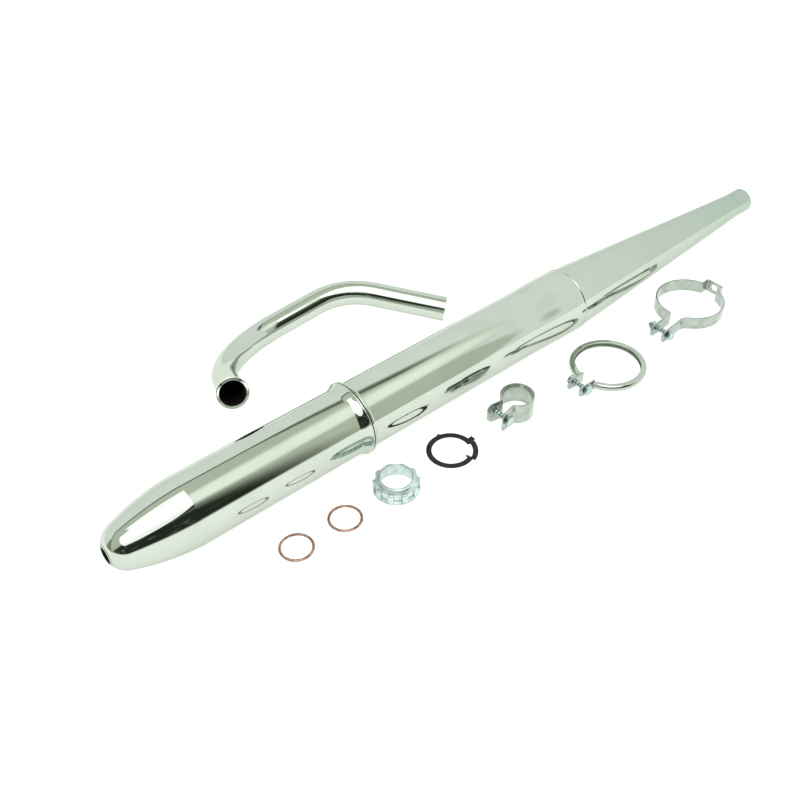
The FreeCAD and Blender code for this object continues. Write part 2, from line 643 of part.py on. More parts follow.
def ring_clamp_band():
    body = new_body("ring_clamp_band")
    sketch = new_sketch(body, "ring_clamp_section", "XZ_Plane")
    draw_outline(sketch, [
        ("ring_clamp_in", "0"), ("ring_clamp_leg", "0", "ring_clamp_crown", 1),
        ("ring_clamp_leg", "ring_clamp_high"), ("ring_clamp_in", "ring_clamp_high"),
        ("ring_clamp_in", "ring_clamp_high - ring_clamp_thick"),
        ("ring_clamp_leg", "ring_clamp_high - ring_clamp_thick", "ring_clamp_crown - ring_clamp_thick", -1),
        ("ring_clamp_leg", "ring_clamp_thick"), ("ring_clamp_in", "ring_clamp_thick")])
    feature = body.newObject("PartDesign::Revolution", "ring_clamp_turned")
    feature.Profile = sketch
    feature.ReferenceAxis = (sketch, ["V_Axis"])
    feature.Angle = 360
    doc.recompute()
    gap = new_sketch(body, "ring_clamp_gap")
    draw_outline(gap, [("-60", "lug_near"), ("-20", "lug_near"), ("-20", "lug_far"), ("-60", "lug_far")])
    pocket = body.newObject("PartDesign::Pocket", "ring_clamp_open")
    pocket.Profile = gap
    pocket.Type = 1
    pocket.Midplane = True
    seat(body, "ring_clamp_x", "ring_clamp_y", "ring_clamp_rise")
    return body


def ring_clamp_lugs():
    for label, side in (("ring_clamp_lug_near", "lug_near"), ("ring_clamp_lug_far", "lug_far - lug_thick")):
        box = doc.addObject("Part::Box", label + "_plate")
        bind(box, Length="lug_long", Width="lug_thick", Height="lug_high")
        seat(box, "ring_clamp_in * -1 - lug_long", side, "0")
        hole = doc.addObject("Part::Cylinder", label + "_hole")
        hole.Placement = FreeCAD.Placement(FreeCAD.Vector(RING_CLAMP["bolt_x"], -30, get("lug_high") / 2),
                                           FreeCAD.Rotation(FreeCAD.Vector(1, 0, 0), -90))
        bind(hole, Radius="bolt_hole_r", Height="60")
        chamfered = doc.addObject("Part::Chamfer", label + "_cut")
        chamfered.Base = box
        doc.recompute()
        far_edges = [index for index, edge in enumerate(box.Shape.Edges, start=1)
                     if abs(edge.CenterOfMass.x - box.Shape.BoundBox.XMin) < 1e-6 and edge.Length < 3]
        chamfered.Edges = [(index, get("lug_cut"), get("lug_cut")) for index in far_edges]
        lug = node(doc.addObject("Part::Cut", label), label)
        lug.Base, lug.Tool = chamfered, hole
        seat(lug, "ring_clamp_x", "ring_clamp_y", "0")


def clamp_bolt(prefix, z, plan):
    # a hexagon bolt along +Y, its head on the near side, and its nut on the far side
    x, head_face, nut_face = plan["bolt_x"], plan["head_face"], plan["nut_face"]
    centre = (prefix + "_x", prefix + "_y")
    along = FreeCAD.Rotation(FreeCAD.Vector(1, 0, 0), -90)
    shank = doc.addObject("Part::Cylinder", prefix + "_shank")
    bind(shank, Radius="bolt_r")
    shank.Height = plan["bolt_end"] - head_face
    head = doc.addObject("Part::Prism", prefix + "_head")
    head.Polygon = 6
    bind(head, Circumradius="hex_r", Height="head_high")
    seat(head, "0", "0", "head_high * -1")
    bolt = node(doc.addObject("Part::Fuse", prefix + "_bolt"), prefix + "_bolt")
    bolt.Base, bolt.Tool = shank, head
    bolt.Placement = FreeCAD.Placement(FreeCAD.Vector(0, 0, z), along)
    seat(bolt, centre[0] + " + %.2f" % x, centre[1] + " + %.2f" % head_face, "%.3f" % z)
    block = doc.addObject("Part::Prism", prefix + "_nut_block")
    block.Polygon = 6
    bind(block, Circumradius="hex_r", Height="hex_nut_high")
    bore = doc.addObject("Part::Cylinder", prefix + "_nut_bore")
    bind(bore, Radius="bolt_r + bolt_play", Height="hex_nut_high")
    nut = node(doc.addObject("Part::Cut", prefix + "_nut"), prefix + "_nut")
    nut.Base, nut.Tool = block, bore
    nut.Placement = FreeCAD.Placement(FreeCAD.Vector(0, 0, z), along)
    seat(nut, centre[0] + " + %.2f" % x, centre[1] + " + %.2f" % nut_face, "%.3f" % z)


def clamps():
    pipe_clamp_band()
    clamp_bolt("pipe_clamp", get("pipe_clamp_high") / 2, PIPE_CLAMP)
    ring_clamp_band()
    ring_clamp_lugs()
    clamp_bolt("ring_clamp", get("lug_high") / 2, RING_CLAMP)
    mount_clamp_band()
    clamp_bolt("mount_clamp", get("mount_clamp_high") / 2, MOUNT_CLAMP)


def check_and_write():
    doc.recompute()
    for thing in doc.Objects:
        if "Invalid" in thing.State or "Error" in thing.State:
            raise SystemExit("failed object: %s %s" % (thing.Label, thing.State))
    os.makedirs("parts", exist_ok=True)
    whole = FreeCAD.BoundBox()
    for thing in nodes:
        shape = thing.Shape
        if shape.isNull() or not shape.isValid() or not shape.Solids:
            raise SystemExit("bad shape: " + thing.Label)
        whole.add(shape.optimalBoundingBox(False))
        shape.exportStep(os.path.join("parts", thing.Label + ".step"))
        print("%-22s solids %d volume %.0f" % (thing.Label, len(shape.Solids), shape.Volume))
    print("box %.2f %.2f %.2f to %.2f %.2f %.2f" % (whole.XMin, whole.YMin, whole.ZMin,
                                                    whole.XMax, whole.YMax, whole.ZMax))


muffler()
header_pipe()
collar_nut()
sealing_rings()
lock_ring()
clamps()
check_and_write()
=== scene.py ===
import json
import math
import bmesh
import bpy
from mathutils import Matrix, Vector


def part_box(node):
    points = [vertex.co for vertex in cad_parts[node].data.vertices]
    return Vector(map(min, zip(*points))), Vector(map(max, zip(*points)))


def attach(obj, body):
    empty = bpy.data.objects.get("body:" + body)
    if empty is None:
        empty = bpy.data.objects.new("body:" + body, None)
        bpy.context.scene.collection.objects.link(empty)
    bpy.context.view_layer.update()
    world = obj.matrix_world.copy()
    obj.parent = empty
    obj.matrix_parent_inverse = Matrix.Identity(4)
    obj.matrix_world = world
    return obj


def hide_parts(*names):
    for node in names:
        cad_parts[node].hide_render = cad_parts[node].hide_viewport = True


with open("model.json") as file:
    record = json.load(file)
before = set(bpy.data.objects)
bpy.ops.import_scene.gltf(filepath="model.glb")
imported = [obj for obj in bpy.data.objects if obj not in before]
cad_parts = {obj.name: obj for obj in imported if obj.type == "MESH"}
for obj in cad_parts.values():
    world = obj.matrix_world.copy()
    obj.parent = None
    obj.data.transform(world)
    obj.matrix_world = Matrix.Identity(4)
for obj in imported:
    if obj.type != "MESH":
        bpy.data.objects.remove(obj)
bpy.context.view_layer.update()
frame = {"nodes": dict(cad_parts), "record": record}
mounts = {mount["name"]: mount for mount in frame["record"]["mounts"]}
mm = 0.001


def colour(hexCode):
    channels = [int(hexCode[place:place + 2], 16) / 255 for place in (0, 2, 4)]
    linear = [c / 12.92 if c <= 0.04045 else ((c + 0.055) / 1.055) ** 2.4 for c in channels]
    return (*linear, 1.0)


def addNode(tree, kind, inputs=None, links=None, **settings):
    node = tree.nodes.new(kind)
    for name, value in settings.items():
        setattr(node, name, value)
    for socket, value in (inputs or {}).items():
        node.inputs[socket].default_value = value
    for socket, source in (links or {}).items():
        tree.links.new(source, node.inputs[socket])
    return node


def newMaterial(name, **sockets):
    material = bpy.data.materials.new(name)
    material.use_nodes = True
    tree = material.node_tree
    shader = tree.nodes["Principled BSDF"]
    for socket, value in sockets.items():
        shader.inputs[socket.replace("_", " ")].default_value = value
    material.diffuse_color = sockets.get("Base_Color", (0.6, 0.6, 0.6, 1.0))
    place = addNode(tree, "ShaderNodeTexCoord").outputs["Object"]
    return material, tree, shader, place


def addGrain(tree, place, size, detail=3.0, stretch=(1, 1, 1), roughness=0.5):
    # noise whose lumps are about this many millimetres across
    spread = addNode(tree, "ShaderNodeMapping", {"Scale": stretch}, {"Vector": place})
    return addNode(tree, "ShaderNodeTexNoise",
                   {"Scale": 1 / (size * mm), "Detail": detail, "Roughness": roughness},
                   {"Vector": spread.outputs["Vector"]}).outputs["Fac"]


def addRange(tree, value, low, high, toLow, toHigh):
    return addNode(tree, "ShaderNodeMapRange",
                   {"From Min": low, "From Max": high, "To Min": toLow, "To Max": toHigh},
                   {"Value": value}).outputs["Result"]


def addTint(tree, value, first, second, socket):
    mix = addNode(tree, "ShaderNodeMix", {6: colour(first), 7: colour(second)}, {0: value},
                  data_type="RGBA")
    tree.links.new(mix.outputs[2], socket)
    return mix.outputs[2]


def addBump(tree, shader, height, depth, strength=1.0):
    bump = addNode(tree, "ShaderNodeBump", {"Strength": strength, "Distance": depth * mm},
                   {"Height": height})
    tree.links.new(bump.outputs["Normal"], shader.inputs["Normal"])


finish = {
    "chromeTint": "BEC6BC",
    "chromeShade": "BAC2B8",
    # the grey the plate takes towards the inlet end, and the length it spreads over
    "inletGreyTint": "A9B6AA",
    "inletGreyLong": 0.36,
    "zincTint": "AFB8AF",
    "zincShade": "9BA59D",
    "castTint": "CFDDDB",
    "castShade": "B7C9C8",
    "clampTint": "B4BBB2",
    "clampShade": "A9B0A7",
    # painted highlight: the header collar gets a brighter copy of the chrome, for the light its rolled rim
    # catches
    "collarHighlightTint": "DCE2DB",
    "collarHighlightHaze": "CED5CD",
    "boltTint": "C6D6D3",
    "boltShade": "98B1B0",
    "copperTint": "BF9E8C",
    "copperShade": "86685A",
    "blackTint": "1B1B19",
    "blackShade": "2C2C2A",
    "steelTint": "8D8A82",
    "boreTint": "2A2622",
    "sootTint": "1A1714",
    "floorTint": "CDCDCB",
    "glowTint": "FFFFFF",
    "floorGlow": 0.74,
    # painted shade: a darker reflection at grazing angles, for the dark line along the silhouettes
    "silhouetteShadeTint": (0.75, 0.78, 0.74, 1.0),
}


def makeChrome(name, tint, shade, greying=None):
    # bright chrome plate over polished steel: a cool mirror with faint polishing waves,
    # a little duller in patches that the buffing mop left
    material, tree, shader, place = newMaterial(name, Base_Color=colour(tint), Metallic=1.0,
                                                Roughness=0.035)
    # painted shade: the chrome reflects darker at grazing angles, giving a dark line along the silhouettes
    shader.inputs["Specular Tint"].default_value = finish["silhouetteShadeTint"]
    haze = addGrain(tree, place, 38, 2.0)
    plating = addTint(tree, addRange(tree, haze, 0.42, 0.66, 0, 1), tint, shade,
                      shader.inputs["Base Color"])
    if greying:
        # the plate greys towards the inlet end
        greyed, start, end = greying
        along = addNode(tree, "ShaderNodeSeparateXYZ", links={"Vector": place}).outputs["X"]
        stained = addNode(tree, "ShaderNodeMix", {7: colour(greyed)},
                          {0: addRange(tree, along, start, end, 0, 1), 6: plating}, data_type="RGBA")
        tree.links.new(stained.outputs[2], shader.inputs["Base Color"])
    rough = addRange(tree, addGrain(tree, place, 9, 4.0), 0.35, 0.75, 0.02, 0.06)
    tree.links.new(rough, shader.inputs["Roughness"])
    addBump(tree, shader, addGrain(tree, place, 24, 1.0, (0.5, 1, 1)), 0.05, 0.5)
    return material


def makeZincStrip():
    # bright zinc on rolled strip: soft grey-green shine, rolling lines along the strip,
    # faint clouds about a centimetre across
    material, tree, shader, place = newMaterial("brightZincStrip", Base_Color=colour(finish["zincTint"]),
                                                Metallic=1.0, Roughness=0.26)
    clouds = addGrain(tree, place, 9, 2.0)
    addTint(tree, addRange(tree, clouds, 0.35, 0.7, 0, 1), finish["zincTint"], finish["zincShade"],
            shader.inputs["Base Color"])
    tree.links.new(addRange(tree, clouds, 0.3, 0.7, 0.10, 0.18), shader.inputs["Roughness"])
    addBump(tree, shader, addGrain(tree, place, 1.1, 2.0, (0.25, 0.25, 2.4)), 0.03, 0.6)
    return material


def makeZincBolt():
    # blue-passivated zinc on turned steel: a satin shine with a cyan cast and slight grain
    material, tree, shader, place = newMaterial("bluePassivatedZinc", Base_Color=colour(finish["boltTint"]),
                                                Metallic=1.0, Roughness=0.24)
    clouds = addGrain(tree, place, 2.6, 3.0)
    addTint(tree, addRange(tree, clouds, 0.35, 0.7, 0, 1), finish["boltTint"], finish["boltShade"],
            shader.inputs["Base Color"])
    tree.links.new(addRange(tree, clouds, 0.3, 0.7, 0.18, 0.36), shader.inputs["Roughness"])
    addBump(tree, shader, addGrain(tree, place, 0.6, 2.0), 0.02, 0.5)
    return material


def makeZincCasting():
    # die-cast zinc, tumbled and plated: satin, slightly pebbled, pale and cool
    material, tree, shader, place = newMaterial("tumbledZincCasting", Base_Color=colour(finish["castTint"]),
                                                Metallic=1.0, Roughness=0.36)
    clouds = addGrain(tree, place, 5, 4.0)
    addTint(tree, addRange(tree, clouds, 0.35, 0.7, 0, 1), finish["castTint"], finish["castShade"],
            shader.inputs["Base Color"])
    tree.links.new(addRange(tree, clouds, 0.3, 0.7, 0.3, 0.46), shader.inputs["Roughness"])
    addBump(tree, shader, addGrain(tree, place, 1.4, 4.0, roughness=0.6), 0.14, 0.7)
    return material


def makeCopper():
    # soft annealed copper: pale and warm, brown where the anneal left its oxide
    material, tree, shader, place = newMaterial("annealedCopper", Base_Color=colour(finish["copperTint"]),
                                                Metallic=1.0, Roughness=0.34)
    oxide = addGrain(tree, place, 5, 4.0)
    addTint(tree, addRange(tree, oxide, 0.38, 0.66, 0, 1), finish["copperTint"], finish["copperShade"],
            shader.inputs["Base Color"])
    tree.links.new(addRange(tree, oxide, 0.3, 0.7, 0.28, 0.48), shader.inputs["Roughness"])
    addBump(tree, shader, addGrain(tree, place, 1.2, 3.0), 0.06, 0.5)
    return material


def makeBlackSteel():
    # phosphated spring steel: dull black with a slightly brown, dry surface
    material, tree, shader, place = newMaterial("phosphatedSpringSteel", Metallic=0.0, Roughness=0.62,
                                                Base_Color=colour(finish["blackTint"]))
    shader.inputs["Specular IOR Level"].default_value = 0.3
    patch = addGrain(tree, place, 4, 4.0)
    addTint(tree, addRange(tree, patch, 0.35, 0.7, 0, 1), finish["blackTint"], finish["blackShade"],
            shader.inputs["Base Color"])
    tree.links.new(addRange(tree, patch, 0.3, 0.7, 0.52, 0.72), shader.inputs["Roughness"])
    addBump(tree, shader, addGrain(tree, place, 0.8, 3.0), 0.05, 0.6)
    return material


def makeInnerSteel(name, tint, roughness):
    # plain steel that the plating never reached: dull, with brown heat and soot clouds
    material, tree, shader, place = newMaterial(name, Base_Color=colour(tint), Metallic=0.7,
                                                Roughness=roughness)
    soot = addGrain(tree, place, 14, 4.0)
    addTint(tree, addRange(tree, soot, 0.35, 0.7, 0, 1), tint, finish["sootTint"],
            shader.inputs["Base Color"])
    tree.links.new(addRange(tree, soot, 0.3, 0.7, roughness - 0.08, roughness + 0.12),
                   shader.inputs["Roughness"])
    addBump(tree, shader, addGrain(tree, place, 2.5, 3.0), 0.08, 0.5)
    return material


def makeFloor():
    # matt white table lit from below as well, so that it throws hardly any shadow
    material, _, shader, _ = newMaterial("litWhiteTable", Base_Color=colour(finish["floorTint"]),
                                         Roughness=0.9)
    shader.inputs["Specular IOR Level"].default_value = 0.0
    shader.inputs["Emission Color"].default_value = colour(finish["glowTint"])
    shader.inputs["Emission Strength"].default_value = finish["floorGlow"]
    return material


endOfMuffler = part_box("inlet_sleeve")[1].x
chrome = makeChrome("polishedChromePlate", finish["chromeTint"], finish["chromeShade"])
coneChrome = makeChrome("inletGreyedChromePlate", finish["chromeTint"], finish["chromeShade"],
                        (finish["inletGreyTint"], endOfMuffler - finish["inletGreyLong"], endOfMuffler))
clampChrome = makeChrome("buffedChromeStrip", finish["clampTint"], finish["clampShade"])
# painted highlight: a brighter copy of the chrome for the collar, standing in for the light its rolled rim
# catches
collarHighlightChrome = makeChrome("rolledCollarPaintedHighlight", finish["collarHighlightTint"], finish["collarHighlightHaze"])
zincStrip = makeZincStrip()
zincBolt = makeZincBolt()
zincCasting = makeZincCasting()
copper = makeCopper()
blackSteel = makeBlackSteel()
innerSteel = makeInnerSteel("heatStainedSteel", finish["steelTint"], 0.42)
sootySteel = makeInnerSteel("sootySteelBore", finish["boreTint"], 0.7)
print("finishes made")


def lineRun(start, end, step=None):
    # points from start towards end, without the end, with one close to each corner
    a, b = Vector(start), Vector(end)
    length = (b - a).length
    near = min(0.4, length / 4) / length
    shares = [0, near]
    if step:
        count = max(1, round(length / step))
        shares += [share / count for share in range(1, count)]
    shares.append(1 - near)
    return [tuple(a.lerp(b, share)) for share in sorted(set(shares))]


def arcRun(start, end, radius, side, steps):
    # points on an arc from start towards end, its centre on the left (1) or the right (-1)
    a, b = Vector(start), Vector(end)
    across = b - a
    half = across.length / 2
    left = Vector((-across.y, across.x)).normalized()
    centre = (a + b) / 2 + left * side * math.sqrt(radius * radius - half * half)
    first, last = a - centre, b - centre
    turn = math.atan2(first.x * last.y - first.y * last.x, first.dot(last))
    points = []
    for index in range(steps):
        angle = turn * index / steps
        points.append((centre.x + first.x * math.cos(angle) - first.y * math.sin(angle),
                       centre.y + first.x * math.sin(angle) + first.y * math.cos(angle)))
    return points


def swellRun(start, end, steps):
    # points on an S curve from start towards end, level at both ends
    points = []
    for index in range(steps):
        share = index / steps
        rise = share * share * (3 - 2 * share)
        points.append((start[0] + (end[0] - start[0]) * share, start[1] + (end[1] - start[1]) * rise))
    return points


def turned(name, runs, placeOf, segments, materials):
    # a ring of vertices for each point (station, radius) of a closed outline; "crisp" marks an edge,
    # and the faces after "inside" take the second material
    points, crisp, inner = [], set(), None
    for run in runs:
        if run == "inside":
            inner = len(points)
        elif run == "crisp":
            crisp.add(len(points))
        else:
            points += run
    count = len(points)
    mesh = bpy.data.meshes.new(name)
    shape = bmesh.new()
    rings = []
    for station, radius in points:
        centre, side, up = placeOf(station)
        ring = []
        for index in range(segments):
            turn = 2 * math.pi * index / segments
            spoke = side * math.cos(turn) * radius + up * math.sin(turn) * radius
            ring.append(shape.verts.new((centre + spoke) * mm))
        rings.append(ring)
    for number in range(count):
        here, there = rings[number], rings[(number + 1) % count]
        for index in range(segments):
            after = (index + 1) % segments
            face = shape.faces.new((here[index], here[after], there[after], there[index]))
            face.smooth = True
            face.material_index = 1 if inner is not None and number >= inner else 0
    shape.normal_update()
    for number in crisp:
        ring = rings[number % count]
        for index in range(segments):
            edge = shape.edges.get((ring[index], ring[(index + 1) % segments]))
            edge.smooth = False
    bmesh.ops.recalc_face_normals(shape, faces=shape.faces)
    shape.to_mesh(mesh)
    shape.free()
    for material in materials:
        mesh.materials.append(material)
    piece = bpy.data.objects.new(name, mesh)
    bpy.context.scene.collection.objects.link(piece)
    return piece


def joinTo(piece, body, slot, *nodes):
    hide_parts(*nodes)
    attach(piece, body)
    return piece


# muffler, in millimetres from the nose along the axis
muffler = {
    "tube": 35.0, "skin": 1.2, "length": 893.5, "segments": 256,
    "outletBore": 8.3, "outletOuter": 9.9, "rimOuter": 10.5, "rimRound": 1.5, "outletEnd": 60.0,
    "noseStart": 0.5, "noseArc": 24.0, "shoulder": 14.0, "shoulderRadius": 22.3,
    "ogiveArc": 240.0, "ogiveEnd": 79.0,
    "noseInsideStart": (1.85, 9.9), "noseInsideShoulder": (14.39, 21.16),
    "flareStart": 254.5, "flareArc": 18.5, "joint": 266.5, "flange": 38.5, "lip": 2.0, "gap": 0.8,
    "lipFoot": 0.4, "lipTop": 0.9, "lipArc": 1.1,
    "tailEdge": 0.8, "mainEdge": 0.7, "lipRound": 0.5, "mainRound": 3.0, "mainFoot": 2.95,
    "swell": 490.0, "ridge": 559.0, "ridgeRadius": 36.1, "seam": 566.0, "seamRadius": 35.6,
    "coneEnd": 869.0, "coneEndRadius": 15.2, "coneRound": 0.5, "sleeveBore": 14.1, "sleeveWall": 1.0,
    "sleeveEdge": 0.4, "coneLift": 0.03, "coneEdge": 0.4, "coneArc": 0.6,
    "beadRoot": 0.03, "beadToes": (0.1, -0.05),
    "beadArc": 1.4, "beadHalf": 1.1,
}
mainLow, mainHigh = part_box("main_tube")
axisY, axisZ = (mainLow.y + mainHigh.y) / 2 / mm, (mainLow.z + mainHigh.z) / 2 / mm
noseX = endOfMuffler / mm - muffler["length"]


def alongMuffler(station):
    return Vector((noseX + station, axisY, axisZ)), Vector((0, -1, 0)), Vector((0, 0, 1))


def makeMuffler(m):
    inside = m["tube"] - m["skin"]
    lipStart = m["joint"] - m["lip"]
    lipTop = lipStart + m["lipTop"]
    tailEdge, mainEdge = m["tailEdge"], m["mainEdge"]
    tail = turned("tailSkin", [
        "crisp", arcRun((m["noseStart"], m["outletOuter"]), (m["shoulder"], m["shoulderRadius"]),
                        m["noseArc"], -1, 26),
        arcRun((m["shoulder"], m["shoulderRadius"]), (m["ogiveEnd"], m["tube"]), m["ogiveArc"], -1, 40),
        "crisp", lineRun((m["ogiveEnd"], m["tube"]), (m["flareStart"], m["tube"]), 12),
        arcRun((m["flareStart"], m["tube"]), (lipStart, m["flange"] - m["lipFoot"]), m["flareArc"], 1, 16),
        arcRun((lipStart, m["flange"] - m["lipFoot"]), (lipTop, m["flange"]), m["lipArc"], -1, 6),
        lineRun((lipTop, m["flange"]), (m["joint"] - tailEdge, m["flange"])),
        arcRun((m["joint"] - tailEdge, m["flange"]), (m["joint"], m["flange"] - tailEdge), tailEdge, -1, 6),
        "inside", lineRun((m["joint"], m["flange"] - tailEdge), (m["joint"], inside)),
        "crisp", lineRun((m["joint"], inside), (m["ogiveEnd"], inside), 40),
        arcRun((m["ogiveEnd"], inside), m["noseInsideShoulder"], m["ogiveArc"] - m["skin"], 1, 10),
        arcRun(m["noseInsideShoulder"], m["noseInsideStart"], m["noseArc"] - m["skin"], 1, 8),
        "crisp", lineRun(m["noseInsideStart"], (m["noseStart"], m["outletOuter"]))],
        alongMuffler, m["segments"], [chrome, innerSteel])
    joinTo(tail, "tail", "chrome", "tail_nose", "tail_tube")
    outlet = turned("outletRim", [
        arcRun((m["noseStart"], m["outletBore"]), (m["noseStart"], m["rimOuter"]), m["rimRound"], -1, 12),
        "crisp", lineRun((m["noseStart"], m["rimOuter"]), (m["noseStart"], m["outletOuter"])),
        "crisp", lineRun((m["noseStart"], m["outletOuter"]), (m["outletEnd"], m["outletOuter"]), 20),
        "crisp", lineRun((m["outletEnd"], m["outletOuter"]), (m["outletEnd"], m["outletBore"])),
        "inside", "crisp", lineRun((m["outletEnd"], m["outletBore"]), (m["noseStart"], m["outletBore"]), 10)],
        alongMuffler, 128, [chrome, sootySteel])
    joinTo(outlet, "tail", "chrome", "outlet_pipe")

    start = m["joint"] + m["gap"]
    lipEnd, lipRound = start + m["lip"], m["lipRound"]
    seamInside, ridgeInside = m["seamRadius"] - m["skin"], m["ridgeRadius"] - m["skin"]
    main = turned("mainSkin", [
        arcRun((start, m["flange"] - mainEdge), (start + mainEdge, m["flange"]), mainEdge, -1, 6),
        lineRun((start + mainEdge, m["flange"]), (lipEnd - lipRound, m["flange"])),
        arcRun((lipEnd - lipRound, m["flange"]), (lipEnd, m["flange"] - lipRound), lipRound, -1, 5),
        arcRun((lipEnd, m["flange"] - lipRound), (lipEnd + m["mainFoot"], m["tube"]), m["mainRound"], 1, 10),
        lineRun((lipEnd + m["mainFoot"], m["tube"]), (m["swell"], m["tube"]), 24),
        swellRun((m["swell"], m["tube"]), (m["ridge"], m["ridgeRadius"]), 24),
        lineRun((m["ridge"], m["ridgeRadius"]), (m["seam"], m["seamRadius"])),
        "crisp", lineRun((m["seam"], m["seamRadius"]), (m["seam"], seamInside)),
        "inside", "crisp", lineRun((m["seam"], seamInside), (m["ridge"], ridgeInside)),
        lineRun((m["ridge"], ridgeInside), (m["swell"], inside)),
        lineRun((m["swell"], inside), (start, inside), 40),
        "crisp", lineRun((start, inside), (start, m["flange"] - mainEdge))],
        alongMuffler, m["segments"], [chrome, innerSteel])
    joinTo(main, "main", "chrome", "main_tube")
    end, endRadius, endRound = m["coneEnd"], m["coneEndRadius"], m["coneRound"]
    cone = turned("coneSkin", [
        "crisp", lineRun((m["seam"], m["seamRadius"]), (end - endRound, endRadius + m["coneLift"]), 20),
        arcRun((end - endRound, endRadius + m["coneLift"]), (end, endRadius - m["coneEdge"]),
               m["coneArc"], -1, 5),
        lineRun((end, endRadius - m["coneEdge"]), (end, endRadius - m["skin"])),
        "inside", "crisp", lineRun((end, endRadius - m["skin"]), (m["seam"], seamInside), 40),
        "crisp", lineRun((m["seam"], seamInside), (m["seam"], m["seamRadius"]))],
        alongMuffler, m["segments"], [coneChrome, innerSteel])
    joinTo(cone, "main", "chrome", "inlet_cone")
    low = (m["seam"] - m["beadHalf"], m["seamRadius"] + m["beadToes"][0])
    high = (m["seam"] + m["beadHalf"], m["seamRadius"] + m["beadToes"][1])
    root = (m["seam"], m["seamRadius"] + m["beadRoot"])
    bead = turned("seamWeld", [
        "crisp", arcRun(low, high, m["beadArc"], -1, 12), "crisp", lineRun(high, root), lineRun(root, low)],
        alongMuffler, m["segments"], [chrome])
    joinTo(bead, "main", "chrome", "seam_bead")
    outer, edge = m["sleeveBore"] + m["sleeveWall"], m["sleeveEdge"]
    sleeve = turned("sleeveSkin", [
        "crisp", lineRun((m["coneEnd"], outer), (m["length"] - edge, outer), 8),
        arcRun((m["length"] - edge, outer), (m["length"], outer - edge), edge, -1, 5),
        lineRun((m["length"], outer - edge), (m["length"], m["sleeveBore"])),
        "inside", "crisp", lineRun((m["length"], m["sleeveBore"]), (m["coneEnd"], m["sleeveBore"]), 8),
        "crisp", lineRun((m["coneEnd"], m["sleeveBore"]), (m["coneEnd"], outer))],
        alongMuffler, 128, [coneChrome, innerSteel])
    joinTo(sleeve, "main", "chrome", "inlet_sleeve")
    print("muffler skins turned")


makeMuffler(muffler)

# header pipe: straight runs and bends, from the plain end to the collared mouth;
# a way is its heading seen from above and its slope, in degrees
header = {
    "radius": 14.0, "wall": 1.5, "farRun": 83.2, "bendOne": 83.0,
    "middleRun": 54.0, "middleWay": (177.2, -6.7),
    "bendTwo": 103.0, "mouthWay": (-110.4, 21.4), "mouthRun": 43.6, "mouthFlare": 0.9,
    "flareLong": 3.0, "edge": 0.3, "lipArc": 0.5, "lipLong": 0.4,
    "collar": 16.8, "collarLong": 2.8, "collarRound": 0.9, "segments": 112,
}


def wayOf(turn, slope):
    turn, slope = math.radians(turn), math.radians(slope)
    return Vector((math.cos(turn) * math.cos(slope), math.sin(turn) * math.cos(slope), math.sin(slope)))


def headerRoute(h):
    end = mounts["header_end"]
    heading = -Vector(end["axis"]).normalized()
    here = Vector(end["pos_m"]) / mm - heading * end["dims"]["length_mm"] / 2
    side = heading.cross(Vector((0, 0, 1))).normalized()
    pieces = []
    for run, radius, way in ((h["farRun"], h["bendOne"], h["middleWay"]),
                             (h["middleRun"], h["bendTwo"], h["mouthWay"]), (h["mouthRun"], None, None)):
        pieces.append((run, None, here, heading, None, side))
        here = here + heading * run
        if way:
            after = wayOf(*way)
            angle, hinge = heading.angle(after), heading.cross(after).normalized()
            pieces.append((angle * radius, radius, here, heading, hinge, side))
            across = hinge.cross(heading)
            here = here + (heading * math.sin(angle) + across * (1 - math.cos(angle))) * radius
            side = Matrix.Rotation(angle, 3, hinge) @ side
            heading = after
    return pieces


def makeHeader(h):
    pieces = headerRoute(h)
    total = sum(piece[0] for piece in pieces)

    def alongHeader(station):
        number = 0
        while number < len(pieces) - 1 and station > pieces[number][0]:
            station -= pieces[number][0]
            number += 1
        radius, here, heading, hinge, side = pieces[number][1:]
        if radius is None:
            return here + heading * station, side, heading.cross(side)
        angle = station / radius
        across = hinge.cross(heading)
        centre = here + (heading * math.sin(angle) + across * (1 - math.cos(angle))) * radius
        bend = Matrix.Rotation(angle, 3, hinge)
        return centre, bend @ side, bend @ heading.cross(side)

    outer, bore, edge = h["radius"], h["radius"] - h["wall"], h["edge"]
    flareStart, flareEnd = total - h["flareLong"], (total - h["lipLong"], bore + h["mouthFlare"])
    pipe = turned("headerPipe", [
        arcRun((0, outer - edge), (edge, outer), edge, -1, 4),
        lineRun((edge, outer), (total - edge, outer), 3),
        arcRun((total - edge, outer), (total, outer - edge), edge, -1, 4),
        arcRun((total, outer - edge), flareEnd, h["lipArc"], -1, 3),
        "inside", lineRun(flareEnd, (flareStart, bore)),
        lineRun((flareStart, bore), (0, bore), 6),
        "crisp", lineRun((0, bore), (0, outer - edge))],
        alongHeader, h["segments"], [chrome, sootySteel])
    joinTo(pipe, "header", "chrome", "header_far_run", "header_flat_bend", "header_middle_run",
           "header_rising_bend", "header_mouth_run")
    foot, rim = total - h["collarLong"], h["collarRound"]
    collar = turned("headerCollar", [
        "crisp", lineRun((foot, outer), (foot, h["collar"] - rim)),
        arcRun((foot, h["collar"] - rim), (foot + rim, h["collar"]), rim, -1, 8),
        lineRun((foot + rim, h["collar"]), (total - rim, h["collar"])),
        arcRun((total - rim, h["collar"]), (total, h["collar"] - rim), rim, -1, 8),
        lineRun((total, h["collar"] - rim), (total, outer)),
        "crisp", lineRun((total, outer), (foot, outer))],
        alongHeader, h["segments"], [collarHighlightChrome])
    joinTo(collar, "header", "chrome", "header_collar")
    print("header pipe bent, %.0f mm long" % total)


makeHeader(header)


